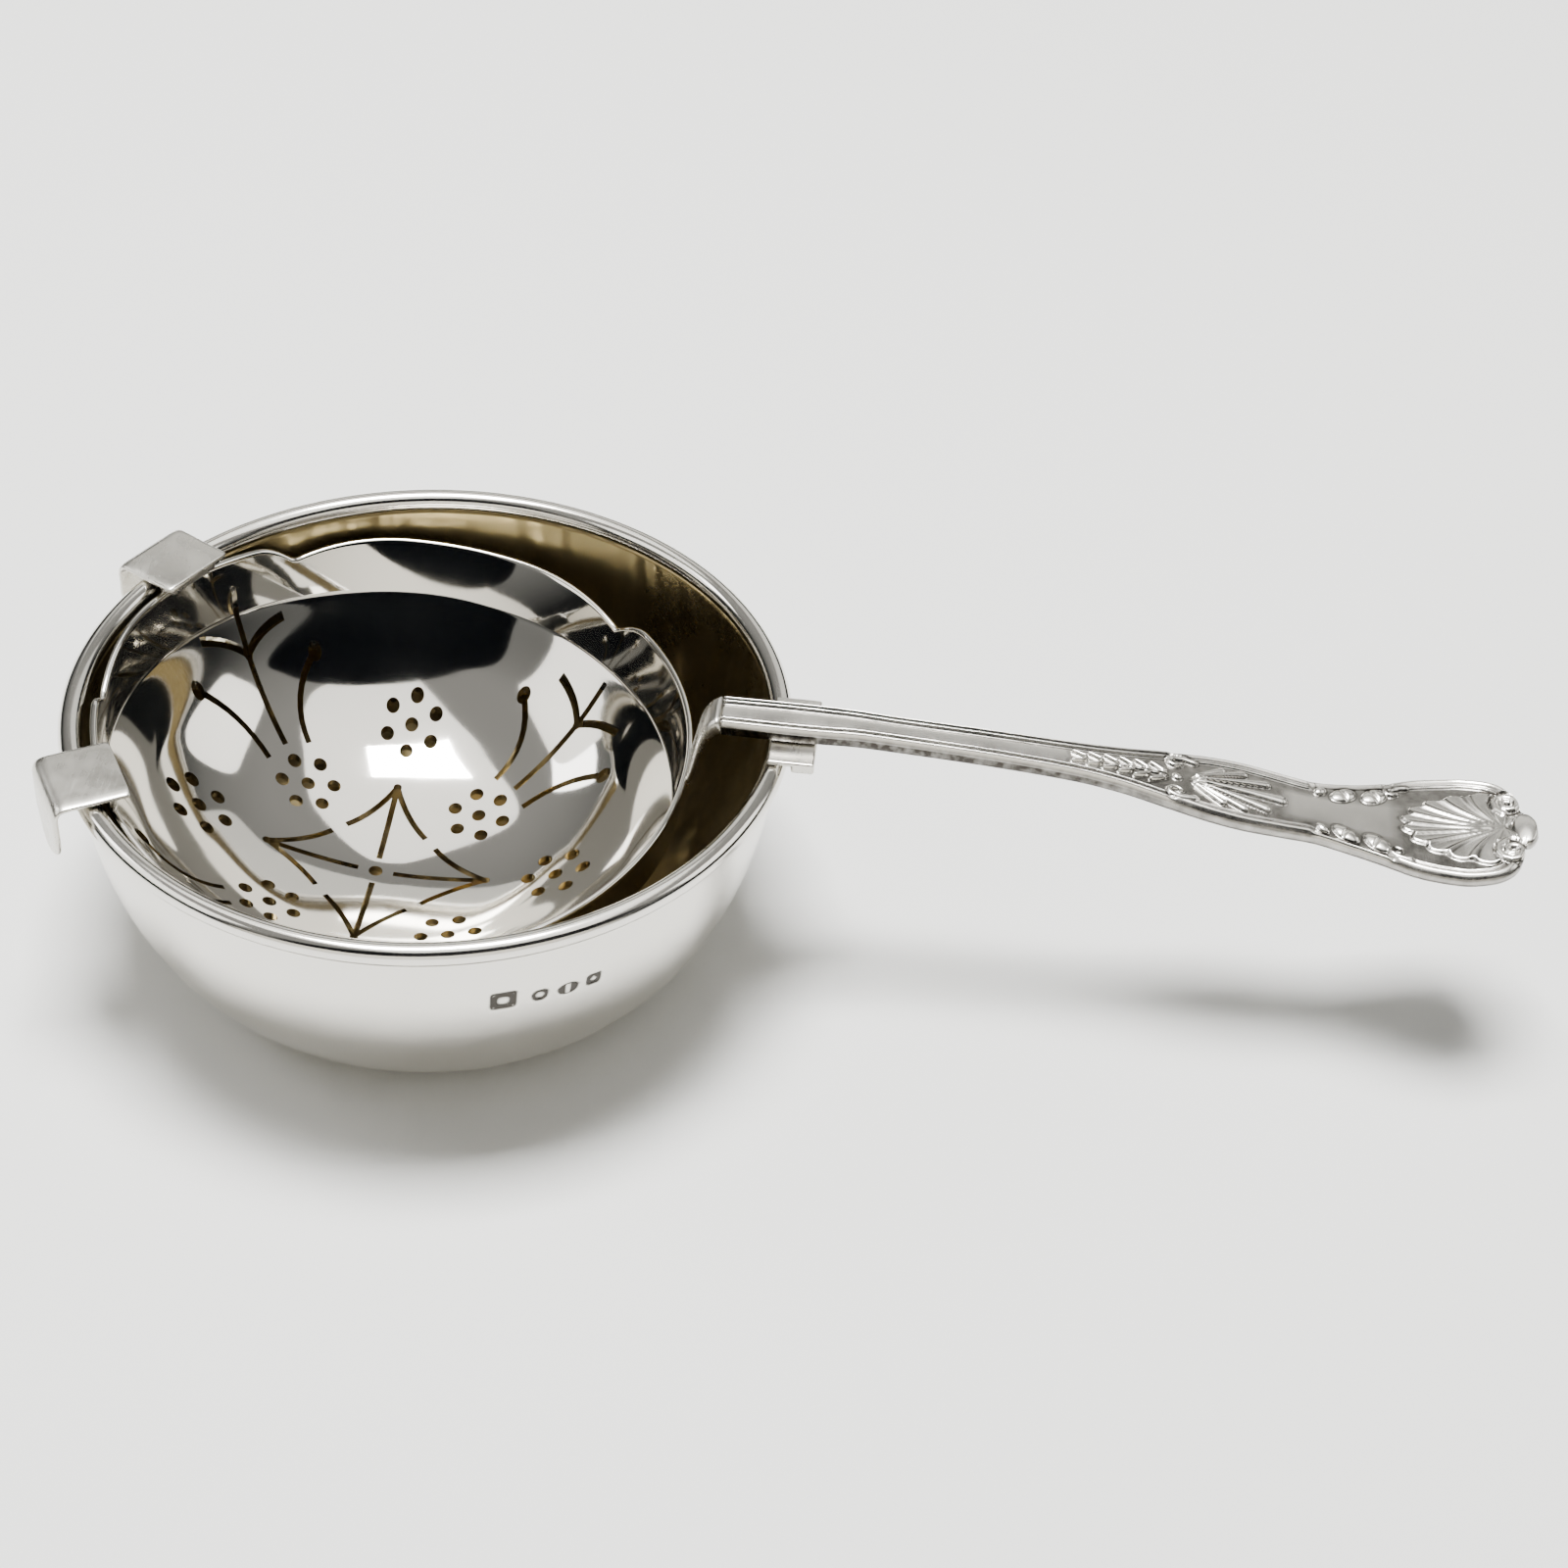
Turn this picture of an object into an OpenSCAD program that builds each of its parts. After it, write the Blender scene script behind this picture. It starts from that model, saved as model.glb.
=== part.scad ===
// Tea strainer with its drip bowl: a hemispherical drip bowl with a wired rim, and a pierced strainer
// that hangs in it from two hooks and a cast handle.
// Millimetres. The origin is on the table under the middle of the drip bowl, the handle lies along +X.

/* [Drip bowl] */
// Outside diameter over the rim wire
bowl_d = 70; // [60:0.5:90]
// Height of the middle of the rim wire above the table
rim_height = 26.4; // [20:0.2:40]
// Diameter of the flat that the bowl stands on
foot_d = 35; // [24:0.5:44]
// Thickness of the bowl's sheet
bowl_wall = 0.8; // [0.6:0.1:1.4]
// Diameter of the rim wire
rim_wire_d = 2.2; // [1.6:0.1:3]

/* [Strainer] */
// Diameter of the strainer's rim along the handle
strainer_d = 56.2; // [46:0.2:58]
// How much wider the rim is across the handle
strainer_oval = 4.6; // [0:0.2:5]
// Depth inside the strainer, from the hook side of the rim to the bottom
strainer_depth = 21.2; // [17:0.2:24]
// How far the rim dips at the sides
rim_dip = 2.2; // [0:0.1:3]
// Thickness of the strainer's sheet
strainer_wall = 0.7; // [0.5:0.1:1]
// Angle by which the strainer hangs lower on the handle side
strainer_tilt = 5; // [0:0.5:6]
// Depth of the three nicks in the shaped rim, as a share of its height
nick_depth = 0.32; // [0:0.02:0.4]

/* [Piercing] */
// Diameter of the round holes
hole_d = 1.4; // [1:0.05:1.6]
// Width of the sawn slots
slot_w = 0.6; // [0.4:0.05:0.8]
// Distance from the middle hole of a flower to the six around it
flower_r = 2.65; // [2.2:0.05:3]
// Distance of the four stemmed flowers from the middle
stemmed_r = 12.6; // [11.5:0.1:14]
// Distance of the four plain flowers from the middle
plain_r = 18.1; // [17:0.1:19]
// Distance of the arrow tips from the middle
arrow_r = 11.2; // [9:0.1:12]

/* [Hooks] */
// Width of a hook
hook_w = 8.2; // [5:0.1:10]
// Thickness of a hook
hook_t = 0.7; // [0.5:0.05:1]
// Angle of the hooks from the handle's line
hook_angle = 150; // [135:1:160]
// How far the hook's pointed end hangs down
hook_drop = 6.6; // [4:0.2:9]
// Gap between the rim wire and the hooks or the handle rest
rim_clear = 0.1; // [0.05:0.05:0.3]

/* [Handle] */
// Distance of the handle's tip from the middle of the drip bowl
handle_reach = 106.6; // [90:0.5:130]
// Width of the handle's stem
stem_w = 4.2; // [3:0.1:6]
// Width of the handle across the shell
shell_w = 14.6; // [10:0.2:18]
// Thickness of the stem
handle_t = 2; // [1.4:0.1:3]
// How far the handle droops from its stem to its lowest point
handle_droop = 5.3; // [2:0.1:9]
// Length of the handle rest across the handle
rest_l = 9.8; // [7:0.2:14]
// Thickness of the handle rest above the rim wire
rest_t = 0.5; // [0.4:0.1:1]

/* [Hidden] */
$fn = 96;
silver = "gainsboro";
bright = "whitesmoke";

// Drip bowl: the wire's ring and the bowl's outline, a superellipse from the foot to the wire
wire_r = rim_wire_d / 2;
ring_r = bowl_d / 2 - wire_r;
wire_top = rim_height + wire_r;
bowl_r = ring_r;
// The sheet runs a little way up into the wire
bowl_lap = 0.25;
bowl_top = rim_height - wire_r + bowl_lap;
side_power = 2 / 2.45;
belly_power = 2 / 1.8;
belly_steps = 18;
// One outline, drawn from the height of its foot out to a radius at the top
function bowl_curve(low, r_top) =
    [for (i = [0 : belly_steps]) let (a = 90 * i / belly_steps)
     [foot_d / 2 + (r_top - foot_d / 2) * pow(sin(a), side_power),
      low + (bowl_top - low) * (1 - pow(cos(a), belly_power))]];
function backwards(list) = [for (i = [len(list) - 1 : -1 : 0]) list[i]];

// Strainer: its own frame has the bottom of the inside at the origin and +X towards the handle.
// Inside of the well, as shares of the rim's radius and depth, from the bottom to the neck
rim_r = strainer_d / 2;
well_shape = [[0, 0], [0.4, 0.073], [0.645, 0.208], [0.84, 0.42], [0.982, 0.68]];
well_steps = 2;
// [angle, width of the nick on its clockwise side, width on the other side]
nicks = [[50, 8, 26], [122, 24, 8], [186, 24, 6]];
lip_step = 4;
lip_first = 2;
lip_rows = 5;
lip_sink = 0.2;
lip_inset = 0.08;
// The lip bows by this angle either side of its chord, which makes a crease at the neck
lip_bow = 3;
// The rim hangs this far inside the rim wire at the hooks
rim_gap = 1.6;
strainer_x = rim_r * cos(strainer_tilt) - strainer_depth * sin(strainer_tilt) - (ring_r - wire_r - rim_gap);
// The rim's highest point lies this far below the wire's top
rim_below = 0.1;
strainer_z = wire_top - rim_below - strainer_depth * cos(strainer_tilt) - rim_r * sin(strainer_tilt);
// The pattern's middle lies a little towards the hooks
pattern_x = -1.1;

function away(a, b) = let (d = (a - b) % 360) d > 180 ? d - 360 : d < -180 ? d + 360 : d;
function one_nick(d, n) = pow(max(0, 1 - abs(d) / (d < 0 ? n[1] : n[2])), 2);
function nick(a) = nick_depth * max([for (n = nicks) one_nick(away(a, n[0]), n)]);
function lip_r(a) = rim_r + strainer_oval / 2 * pow(sin(a), 2);
function lip_z(a) = strainer_depth - rim_dip * pow(sin(a), 2);

// Bezier curves
function bez3(p, t) = p[0] * pow(1 - t, 3) + p[1] * 3 * t * pow(1 - t, 2)
                    + p[2] * 3 * t * t * (1 - t) + p[3] * pow(t, 3);
function bez2(p, t) = p[0] * pow(1 - t, 2) + p[1] * 2 * t * (1 - t) + p[2] * t * t;
function unit(v) = v / norm(v);
function across(v) = [-v[1], v[0]];

// Smooth curve through points, as a Catmull-Rom spline
function spline_at(p, i, t) =
    let (n = len(p), a = p[max(i - 1, 0)], b = p[i], c = p[i + 1], d = p[min(i + 2, n - 1)])
    0.5 * (2 * b + (c - a) * t + (2 * a - 5 * b + 4 * c - d) * t * t + (3 * b - a - 3 * c + d) * t * t * t);
function spline(p, steps) =
    [for (i = [0 : len(p) - 2], k = [0 : steps - 1]) spline_at(p, i, k / steps), p[len(p) - 1]];

// ---- drip bowl ----

module drip_bowl() {
    color(silver)
    rotate_extrude()
        polygon(concat([[0, 0]], bowl_curve(0, bowl_r), backwards(bowl_curve(bowl_wall, bowl_r - bowl_wall)),
                       [[0, bowl_wall]]));
}

module drip_bowl_rim() {
    color(bright)
    rotate_extrude()
        difference() {
            translate([ring_r, rim_height]) circle(r = wire_r, $fn = 32);
            translate([ring_r - bowl_wall, 0]) square([bowl_wall, bowl_top]);
        }
}

// ---- strainer bowl ----

well_in = spline([for (p = well_shape) [p[0] * rim_r, p[1] * strainer_depth]], well_steps);
well_n = len(well_in);
function well_dir(i) = unit(well_in[min(i + 1, well_n - 1)] - well_in[max(i - 1, 0)]);
function outward(d) = [d[1], -d[0]];
neck = well_in[well_n - 1];
neck_dir = well_dir(well_n - 1);
neck_w = strainer_wall / neck_dir[1];
well_out = [for (i = [0 : well_n - 1])
            i == 0 ? [0, -strainer_wall]
            : i == well_n - 1 ? neck + [neck_w, 0]
            : well_in[i] + strainer_wall * outward(well_dir(i))];

// One direction's section through the lip, from just below the neck to the rim
function lip_bez(a) =
    let (rim = [lip_r(a), lip_z(a)], reach = norm(rim - neck) / 3,
         chord = atan2(rim[1] - neck[1], rim[0] - neck[0]),
         start = chord + lip_bow, end = chord - lip_bow)
    [neck, neck + reach * [cos(start), sin(start)], rim - reach * [cos(end), sin(end)], rim];
function lip_in(a, j) = let (b = lip_bez(a), t = (1 - nick(a)) * j / lip_rows) bez3(b, t);
function lip_dir(a, j) =
    let (b = lip_bez(a), t = (1 - nick(a)) * j / lip_rows) unit(bez3(b, t + 0.01) - bez3(b, t - 0.01));
function lip_section(a) =
    concat([neck + [3 * lip_inset, -lip_sink], neck + [lip_inset, 0]],
           [for (j = [1 : lip_rows]) lip_in(a, j)],
           [for (j = [lip_rows : -1 : 1]) lip_in(a, j) + strainer_wall * outward(lip_dir(a, j))],
           [neck + [neck_w - lip_inset, 0], neck + [neck_w - 3 * lip_inset, -lip_sink]]);

module lip() {
    angles = [lip_first : lip_step : lip_first + 359];
    rings = [for (a = angles) [for (p = lip_section(a)) [p[0] * cos(a), p[0] * sin(a), p[1]]]];
    n = len(rings[0]);
    m = len(rings);
    polyhedron(
        points = [for (r = rings, p = r) p],
        faces = [for (i = [0 : m - 1], k = [0 : n - 1]) each
                 let (i2 = (i + 1) % m, k2 = (k + 1) % n)
                 [[i * n + k, i2 * n + k2, i * n + k2], [i * n + k, i2 * n + k, i2 * n + k2]]]);
}

module well() {
    rotate_extrude() polygon(concat(well_in, backwards(well_out)));
}

// A slot of even width along a curve of points
module slot(points) {
    n = len(points);
    side = [for (i = [0 : n - 1])
            across(unit(points[min(i + 1, n - 1)] - points[max(i - 1, 0)])) * slot_w / 2];
    polygon(concat([for (i = [0 : n - 1]) points[i] + side[i]],
                   [for (i = [n - 1 : -1 : 0]) points[i] - side[i]]));
}
slot_steps = 6;
module curved_slot(p) slot([for (i = [0 : slot_steps]) bez2(p, i / slot_steps)]);
module hole(p, d) translate(p) circle(d = d, $fn = 24);

module flower(r) {
    hole([r, 0], hole_d);
    for (a = [0 : 60 : 300]) hole([r + flower_r * cos(a), flower_r * sin(a)], hole_d);
}

// Arrow from the middle, with two barbs that bow outwards
shaft_from = 1.8;
barb_back = 5.9;
barb_out = 4.1;
module arrow() {
    slot([[shaft_from, 0], [arrow_r, 0]]);
    hole([arrow_r, 0], slot_w * 1.3);
    for (s = [-1, 1])
        curved_slot([[arrow_r, 0], [arrow_r - barb_back * 0.62, s * barb_out * 0.4],
                     [arrow_r - barb_back, s * barb_out]]);
}

// Three stems that grow out of a flower: the middle one ends in three prongs, the others in curls
stem_gap = 1.75;
fork_r = 24.4;
prong_r = 27.6;
curl_r = 22.7;
curl_out = 7;
curl_d = 1.2;
module stems() {
    from = stemmed_r + flower_r + stem_gap;
    slot([[from, 0], [fork_r, 0]]);
    hole([fork_r, 0], curl_d);
    slot([[fork_r, 0], [prong_r, 0]]);
    for (s = [-1, 1]) {
        curved_slot([[fork_r, 0], [fork_r + 1.3, s * 1.8], [prong_r - 1.9, s * 4.9]]);
        curved_slot([[from - 0.7, s * 2.4], [curl_r - 1.6, s * 2.9], [curl_r, s * curl_out]]);
        hole([curl_r, s * curl_out], curl_d);
    }
}

module piercing() {
    translate([pattern_x, 0, -strainer_wall - 1])
    linear_extrude(strainer_depth + 2) {
        circle(d = hole_d, $fn = 24);
        for (a = [0 : 90 : 270]) {
            rotate(a) arrow();
            rotate(a) flower(plain_r);
            rotate(a + 45) flower(stemmed_r);
            rotate(a + 45) stems();
        }
    }
}

module hang() {
    translate([strainer_x, 0, strainer_z]) rotate([0, strainer_tilt, 0]) children();
}

module strainer_bowl() {
    color(bright)
    hang()
        difference() {
            union() {
                well();
                lip();
            }
            piercing();
        }
}

// ---- hooks ----

seat_z = wire_top + rim_clear;
hook_bend = 1.1;
hook_out = bowl_d / 2 + 2.6;
plate_lap = 1.3;
tip_blunt = 0.6;
bend_steps = 6;
// The rim's inner edge under a hook, as it hangs
function hung(x, y, z) = [strainer_x + x * cos(strainer_tilt) + z * sin(strainer_tilt), y,
                          strainer_z + z * cos(strainer_tilt) - x * sin(strainer_tilt)];
rim_tilted = hung(lip_r(hook_angle) * cos(hook_angle), lip_r(hook_angle) * sin(hook_angle), lip_z(hook_angle));
rim_reach = norm([rim_tilted[0], rim_tilted[1]]);
foot_w = 1.2;
foot_lap = 0.5;
// The foot's outer side, whose corners keep their clearance from the rim wire
foot_limit = sqrt(pow(ring_r - wire_r - rim_clear, 2) - pow(hook_w / 2, 2));
foot_end = min(rim_reach - foot_lap / 2 + foot_w, foot_limit);

function quarter(c, r) = [for (i = [0 : bend_steps]) c + r * [cos(90 * i / bend_steps), sin(90 * i / bend_steps)]];

// Side view of a hook: the foot on the rim, the plate over the wire and the tongue outside it
module hook_side() {
    inner = rim_reach - foot_lap / 2;
    plate_end = rim_reach - plate_lap;
    corner = [hook_out - hook_bend, seat_z + hook_t - hook_bend];
    low = seat_z - hook_drop;
    polygon(concat([[plate_end, seat_z + hook_t], [plate_end, seat_z], [inner, seat_z]],
                   [[inner, rim_tilted[2] - foot_lap], [foot_end, rim_tilted[2] - foot_lap],
                    [foot_end, seat_z]],
                   backwards(quarter(corner, hook_bend - hook_t)),
                   [[hook_out - hook_t, low], [hook_out, low]],
                   quarter(corner, hook_bend)));
}

// View from outside: straight sides, then a rounded point
module hook_front() {
    half = hook_w / 2;
    low = seat_z - hook_drop;
    mid = low + hook_drop * 0.55;
    side = [for (i = [0 : bend_steps])
            bez2([[half, mid], [half * 0.75, low + hook_drop * 0.2], [tip_blunt, low]], i / bend_steps)];
    polygon(concat([[-half, seat_z + 2], [half, seat_z + 2]], side,
                   [for (p = backwards(side)) [-p[0], p[1]]]));
}

module hook(angle) {
    color(silver)
    difference() {
        rotate(angle)
            intersection() {
                rotate([90, 0, 0]) linear_extrude(hook_w, center = true) hook_side();
                rotate([90, 0, 90]) linear_extrude(hook_out + 1) hook_front();
            }
        hang() lip();
    }
}

module rear_hook() hook(hook_angle);
module front_hook() hook(-hook_angle);

// ---- handle ----

handle_x = ring_r - 5.7;
handle_l = handle_reach - handle_x;
stem_z = seat_z + rest_t + handle_t / 2;
shell_t = 0.8;
// Half widths along the handle: [share of its length, share of half the stem's or the shell's width]
stem_shape = [[0, 1], [0.1, 1.03], [0.215, 0.93], [0.405, 1.02], [0.482, 1.24]];
shell_shape = [[0.545, 0.48], [0.597, 0.575], [0.642, 0.603], [0.69, 0.57], [0.731, 0.548],
               [0.776, 0.637], [0.814, 0.753], [0.852, 0.904], [0.89, 0.979], [0.916, 1],
               [0.948, 0.945], [0.967, 0.822], [0.98, 0.685], [0.992, 0.342], [1, 0.13]];
// Droop along the handle: [share of its length, share of the lowest point's droop]
droop_shape = [[0, 0], [0.06, 0], [0.125, 0], [0.165, 0], [0.215, 0.04], [0.34, 0.14], [0.47, 0.3],
               [0.597, 0.56], [0.725, 0.86], [0.788, 0.965], [0.852, 1], [0.916, 0.955], [1, 0.765]];

module handle_plan() {
    half = spline(concat([for (p = stem_shape) [handle_x + p[0] * handle_l, p[1] * stem_w / 2]],
                         [for (p = shell_shape) [handle_x + p[0] * handle_l, p[1] * shell_w / 2]]), 2);
    polygon(concat(half, [for (p = backwards(half)) [p[0], -p[1]]]));
}

module handle_profile() {
    middle = spline([for (p = droop_shape) [p[0], stem_z - p[1] * handle_droop]], 3);
    function edge(side) = [for (p = middle)
        [handle_x + p[0] * handle_l, p[1] + side * handle_t / 2 * (1 - (1 - shell_t) * pow(p[0], 2))]];
    polygon(concat(edge(1), backwards(edge(-1))));
}

module handle() {
    color(silver)
    intersection() {
        linear_extrude(stem_z + handle_t) handle_plan();
        rotate([90, 0, 0]) linear_extrude(shell_w + 2, center = true) handle_profile();
    }
}

// ---- the pieces that join the handle to the strainer ----

tongue_w = 5;
tongue_t = 0.8;
tongue_steps = 8;
// The rim's outer edge below the handle
lip_end = hung(rim_r + strainer_wall, 0, strainer_depth - strainer_wall / 2);

module handle_tongue() {
    from = [lip_end[0], lip_end[2]] - [0.25, 0.4];
    to = [handle_x, stem_z];
    curve = [for (i = [0 : tongue_steps])
             bez3([from, from + [1.1, 2.2], to - [2.2, 0.5], to], i / tongue_steps)];
    function edge(side) = [for (i = [0 : tongue_steps])
        let (t = i / tongue_steps, along = i == tongue_steps ? [1, 0]
             : unit(curve[i + 1] - curve[max(i - 1, 0)]))
        curve[i] + side * across(along) * (tongue_t + (handle_t - tongue_t) * pow(t, 3)) / 2];
    color(silver)
    difference() {
        rotate([90, 0, 0]) linear_extrude(tongue_w, center = true)
            polygon(concat(edge(1), backwards(edge(-1))));
        hang() lip();
    }
}

rest_in = ring_r - 0.9;
rest_out = bowl_d / 2 + 2.5;
rest_stand = 0.7;
rest_gap = 0.3;
module handle_rest() {
    color(silver)
    rotate([90, 0, 0]) linear_extrude(rest_l, center = true)
        polygon([[rest_in, seat_z], [bowl_d / 2 + rest_gap, seat_z],
                 [bowl_d / 2 + rest_gap, seat_z - rest_stand], [rest_out, seat_z - rest_stand],
                 [rest_out, seat_z + rest_t], [rest_in, seat_z + rest_t]]);
}

drip_bowl();
drip_bowl_rim();
strainer_bowl();
rear_hook();
front_hook();
handle();
handle_tongue();
handle_rest();
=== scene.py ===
"""Looks for the tea strainer with its drip bowl, laid out as a Blender add-on and run as a script."""

import math

import bmesh
import bpy
import numpy as np
from mathutils import Matrix, Vector


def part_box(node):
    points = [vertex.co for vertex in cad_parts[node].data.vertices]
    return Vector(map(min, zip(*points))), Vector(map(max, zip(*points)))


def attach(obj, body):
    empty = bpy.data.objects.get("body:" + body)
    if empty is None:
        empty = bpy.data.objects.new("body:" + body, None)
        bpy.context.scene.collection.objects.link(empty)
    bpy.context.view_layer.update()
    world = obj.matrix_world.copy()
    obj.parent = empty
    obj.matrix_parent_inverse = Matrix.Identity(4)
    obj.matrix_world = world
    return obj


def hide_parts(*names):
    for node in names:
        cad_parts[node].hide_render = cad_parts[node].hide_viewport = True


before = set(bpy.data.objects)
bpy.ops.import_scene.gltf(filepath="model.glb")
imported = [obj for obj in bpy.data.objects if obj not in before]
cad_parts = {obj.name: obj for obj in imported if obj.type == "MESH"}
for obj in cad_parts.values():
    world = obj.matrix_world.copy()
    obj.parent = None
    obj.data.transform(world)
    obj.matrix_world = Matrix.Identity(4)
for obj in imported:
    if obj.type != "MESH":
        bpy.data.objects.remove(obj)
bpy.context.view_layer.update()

bl_info = {
    "name": "Tea strainer and drip bowl",
    "version": (1, 0, 0),
    "blender": (4, 5, 0),
    "location": "View3D > Sidebar > Tea strainer",
    "description": "Builds a silver tea strainer and its drip bowl round the packed frame",
    "category": "Object",
}

MM = 0.001
STAND, STRAINER = "drip_stand", "strainer"


def box_mm(node):
    """A CAD node's lowest and highest corners, in millimetres."""
    low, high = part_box(node)
    return low / MM, high / MM


RIM_LOW, RIM_HIGH = box_mm("drip_bowl_rim")
HANDLE_LOW, HANDLE_HIGH = box_mm("handle")


# ---------------------------------------------------------------- sizes and colours


class DripBowlSizes(bpy.types.PropertyGroup):
    across: bpy.props.FloatProperty(
        name="Across the rim", description="Outside diameter over the rim wire, in millimetres",
        default=RIM_HIGH.x - RIM_LOW.x, min=50, max=100)
    wire: bpy.props.FloatProperty(
        name="Rim wire", description="Diameter of the rim wire, in millimetres",
        default=RIM_HIGH.z - RIM_LOW.z, min=1, max=4)
    rim_top: bpy.props.FloatProperty(
        name="Height", description="Height of the wire's top above the table, in millimetres",
        default=RIM_HIGH.z, min=15, max=50)
    foot: bpy.props.FloatProperty(
        name="Foot", description="Diameter of the flat foot, in millimetres", default=35, min=20, max=50)
    wall: bpy.props.FloatProperty(
        name="Sheet", description="Thickness of the bowl's sheet, in millimetres", default=0.8, min=0.4, max=2)
    punch_depth: bpy.props.FloatProperty(
        name="Punch depth", description="Depth of the four blank punches, in millimetres", default=0.16, min=0, max=0.3)


class StrainerSizes(bpy.types.PropertyGroup):
    across: bpy.props.FloatProperty(
        name="Along the handle", description="Diameter of the rim along the handle, in millimetres",
        default=56.2, min=40, max=70)
    oval: bpy.props.FloatProperty(
        name="Oval", description="How much wider the rim is across the handle, in millimetres", default=4.6, min=0, max=8)
    depth: bpy.props.FloatProperty(
        name="Depth", description="Depth inside, in millimetres", default=21.2, min=10, max=30)
    dip: bpy.props.FloatProperty(
        name="Dip", description="How far the rim dips at the sides, in millimetres", default=2.2, min=0, max=4)
    wall: bpy.props.FloatProperty(
        name="Sheet", description="Thickness of the strainer's sheet, in millimetres", default=0.7, min=0.4, max=1)
    tilt: bpy.props.FloatProperty(
        name="Tilt", description="Angle by which it hangs lower on the handle side",
        default=math.radians(5), subtype="ANGLE", unit="ROTATION")
    rim_gap: bpy.props.FloatProperty(
        name="Rim gap", description="Gap from the rim wire at the hooks, in millimetres", default=1.6, min=0, max=4)
    nick: bpy.props.FloatProperty(
        name="Nicks", description="Depth of the nicks as a share of the lip's height", default=0.32,
        min=0, max=0.5, subtype="FACTOR")
    hole: bpy.props.FloatProperty(
        name="Holes", description="Diameter of the round holes, in millimetres", default=1.4, min=0.6, max=2)
    slot: bpy.props.FloatProperty(
        name="Slots", description="Width of the sawn slots, in millimetres", default=0.6, min=0.3, max=1)


class FittingSizes(bpy.types.PropertyGroup):
    hook_width: bpy.props.FloatProperty(
        name="Hook width", description="Width of a hook, in millimetres", default=8.2, min=4, max=12)
    hook_angle: bpy.props.FloatProperty(
        name="Hook angle", description="Angle of the hooks from the handle's line",
        default=math.radians(150), subtype="ANGLE", unit="ROTATION")
    hook_thick: bpy.props.FloatProperty(
        name="Hook sheet", description="Thickness of a hook, in millimetres", default=0.7, min=0.4, max=1.2)
    thick: bpy.props.FloatProperty(
        name="Handle thickness", description="Thickness of the handle's stem, in millimetres", default=2, min=1, max=3)
    relief: bpy.props.FloatProperty(
        name="Relief", description="Strength of the handle's ornament", default=1, min=0, max=2, subtype="FACTOR")


class Finishes(bpy.types.PropertyGroup):
    silver: bpy.props.StringProperty(
        name="Silver", description="Polished sterling silver, sRGB hex", default="#E2DFD8")
    gilt: bpy.props.StringProperty(
        name="Gilding", description="Gilt wash inside the drip bowl, sRGB hex", default="#8E7F5B")
    dulled: bpy.props.StringProperty(
        name="Dulled silver", description="Silver of the hooks, tongue and rest, sRGB hex", default="#CFCCC4")
    # Also the colour of the painted shade on the handle's side walls and along its face's outer edge
    tarnish_and_shade: bpy.props.StringProperty(
        name="Tarnish", description="Dark oxide left in recesses, sRGB hex", default="#3A3733")
    floor: bpy.props.StringProperty(
        name="Floor", description="Matt table paper, sRGB hex", default="#E4E4E1")


def linear(text, alpha=1.0):
    """An sRGB hex colour as linear RGBA."""
    parts = [int(text[i:i + 2], 16) / 255 for i in (1, 3, 5)]
    return [c / 12.92 if c <= 0.04045 else ((c + 0.055) / 1.055) ** 2.4 for c in parts] + [alpha]


# ---------------------------------------------------------------- materials


def add_node(tree, kind, settings=None, **links):
    """One node with its settings, each input named in links set to a value or joined to another socket."""
    node = tree.nodes.new(kind)
    for key, value in (settings or {}).items():
        setattr(node, key, value)
    for key, value in links.items():
        socket = node.inputs[int(key[1:])] if key[0] == "i" and key[1:].isdigit() else node.inputs[key.replace("_", " ")]
        if isinstance(value, bpy.types.NodeSocket):
            tree.links.new(value, socket)
        else:
            socket.default_value = value
    return node


def new_material(name):
    """An empty node material with its Principled shader and its Object coordinates in millimetres."""
    material = bpy.data.materials.new(name)
    material.use_nodes = True
    tree = material.node_tree
    shader = tree.nodes["Principled BSDF"]
    coords = add_node(tree, "ShaderNodeTexCoord")
    mm = add_node(tree, "ShaderNodeVectorMath", {"operation": "SCALE"}, i0=coords.outputs["Object"], Scale=1 / MM)
    return material, tree, shader, mm.outputs[0]


def scratches(tree, mm, turn, spacing):
    """Fine hairlines in one direction, as noise that is stretched a long way along them."""
    turned = add_node(tree, "ShaderNodeMapping", Vector=mm, Rotation=turn, Scale=(1 / spacing, 0.09 / spacing, 1 / spacing))
    return add_node(tree, "ShaderNodeTexNoise", Vector=turned.outputs[0], Scale=1.0, Detail=2.0, Roughness=0.6).outputs["Fac"]


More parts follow.
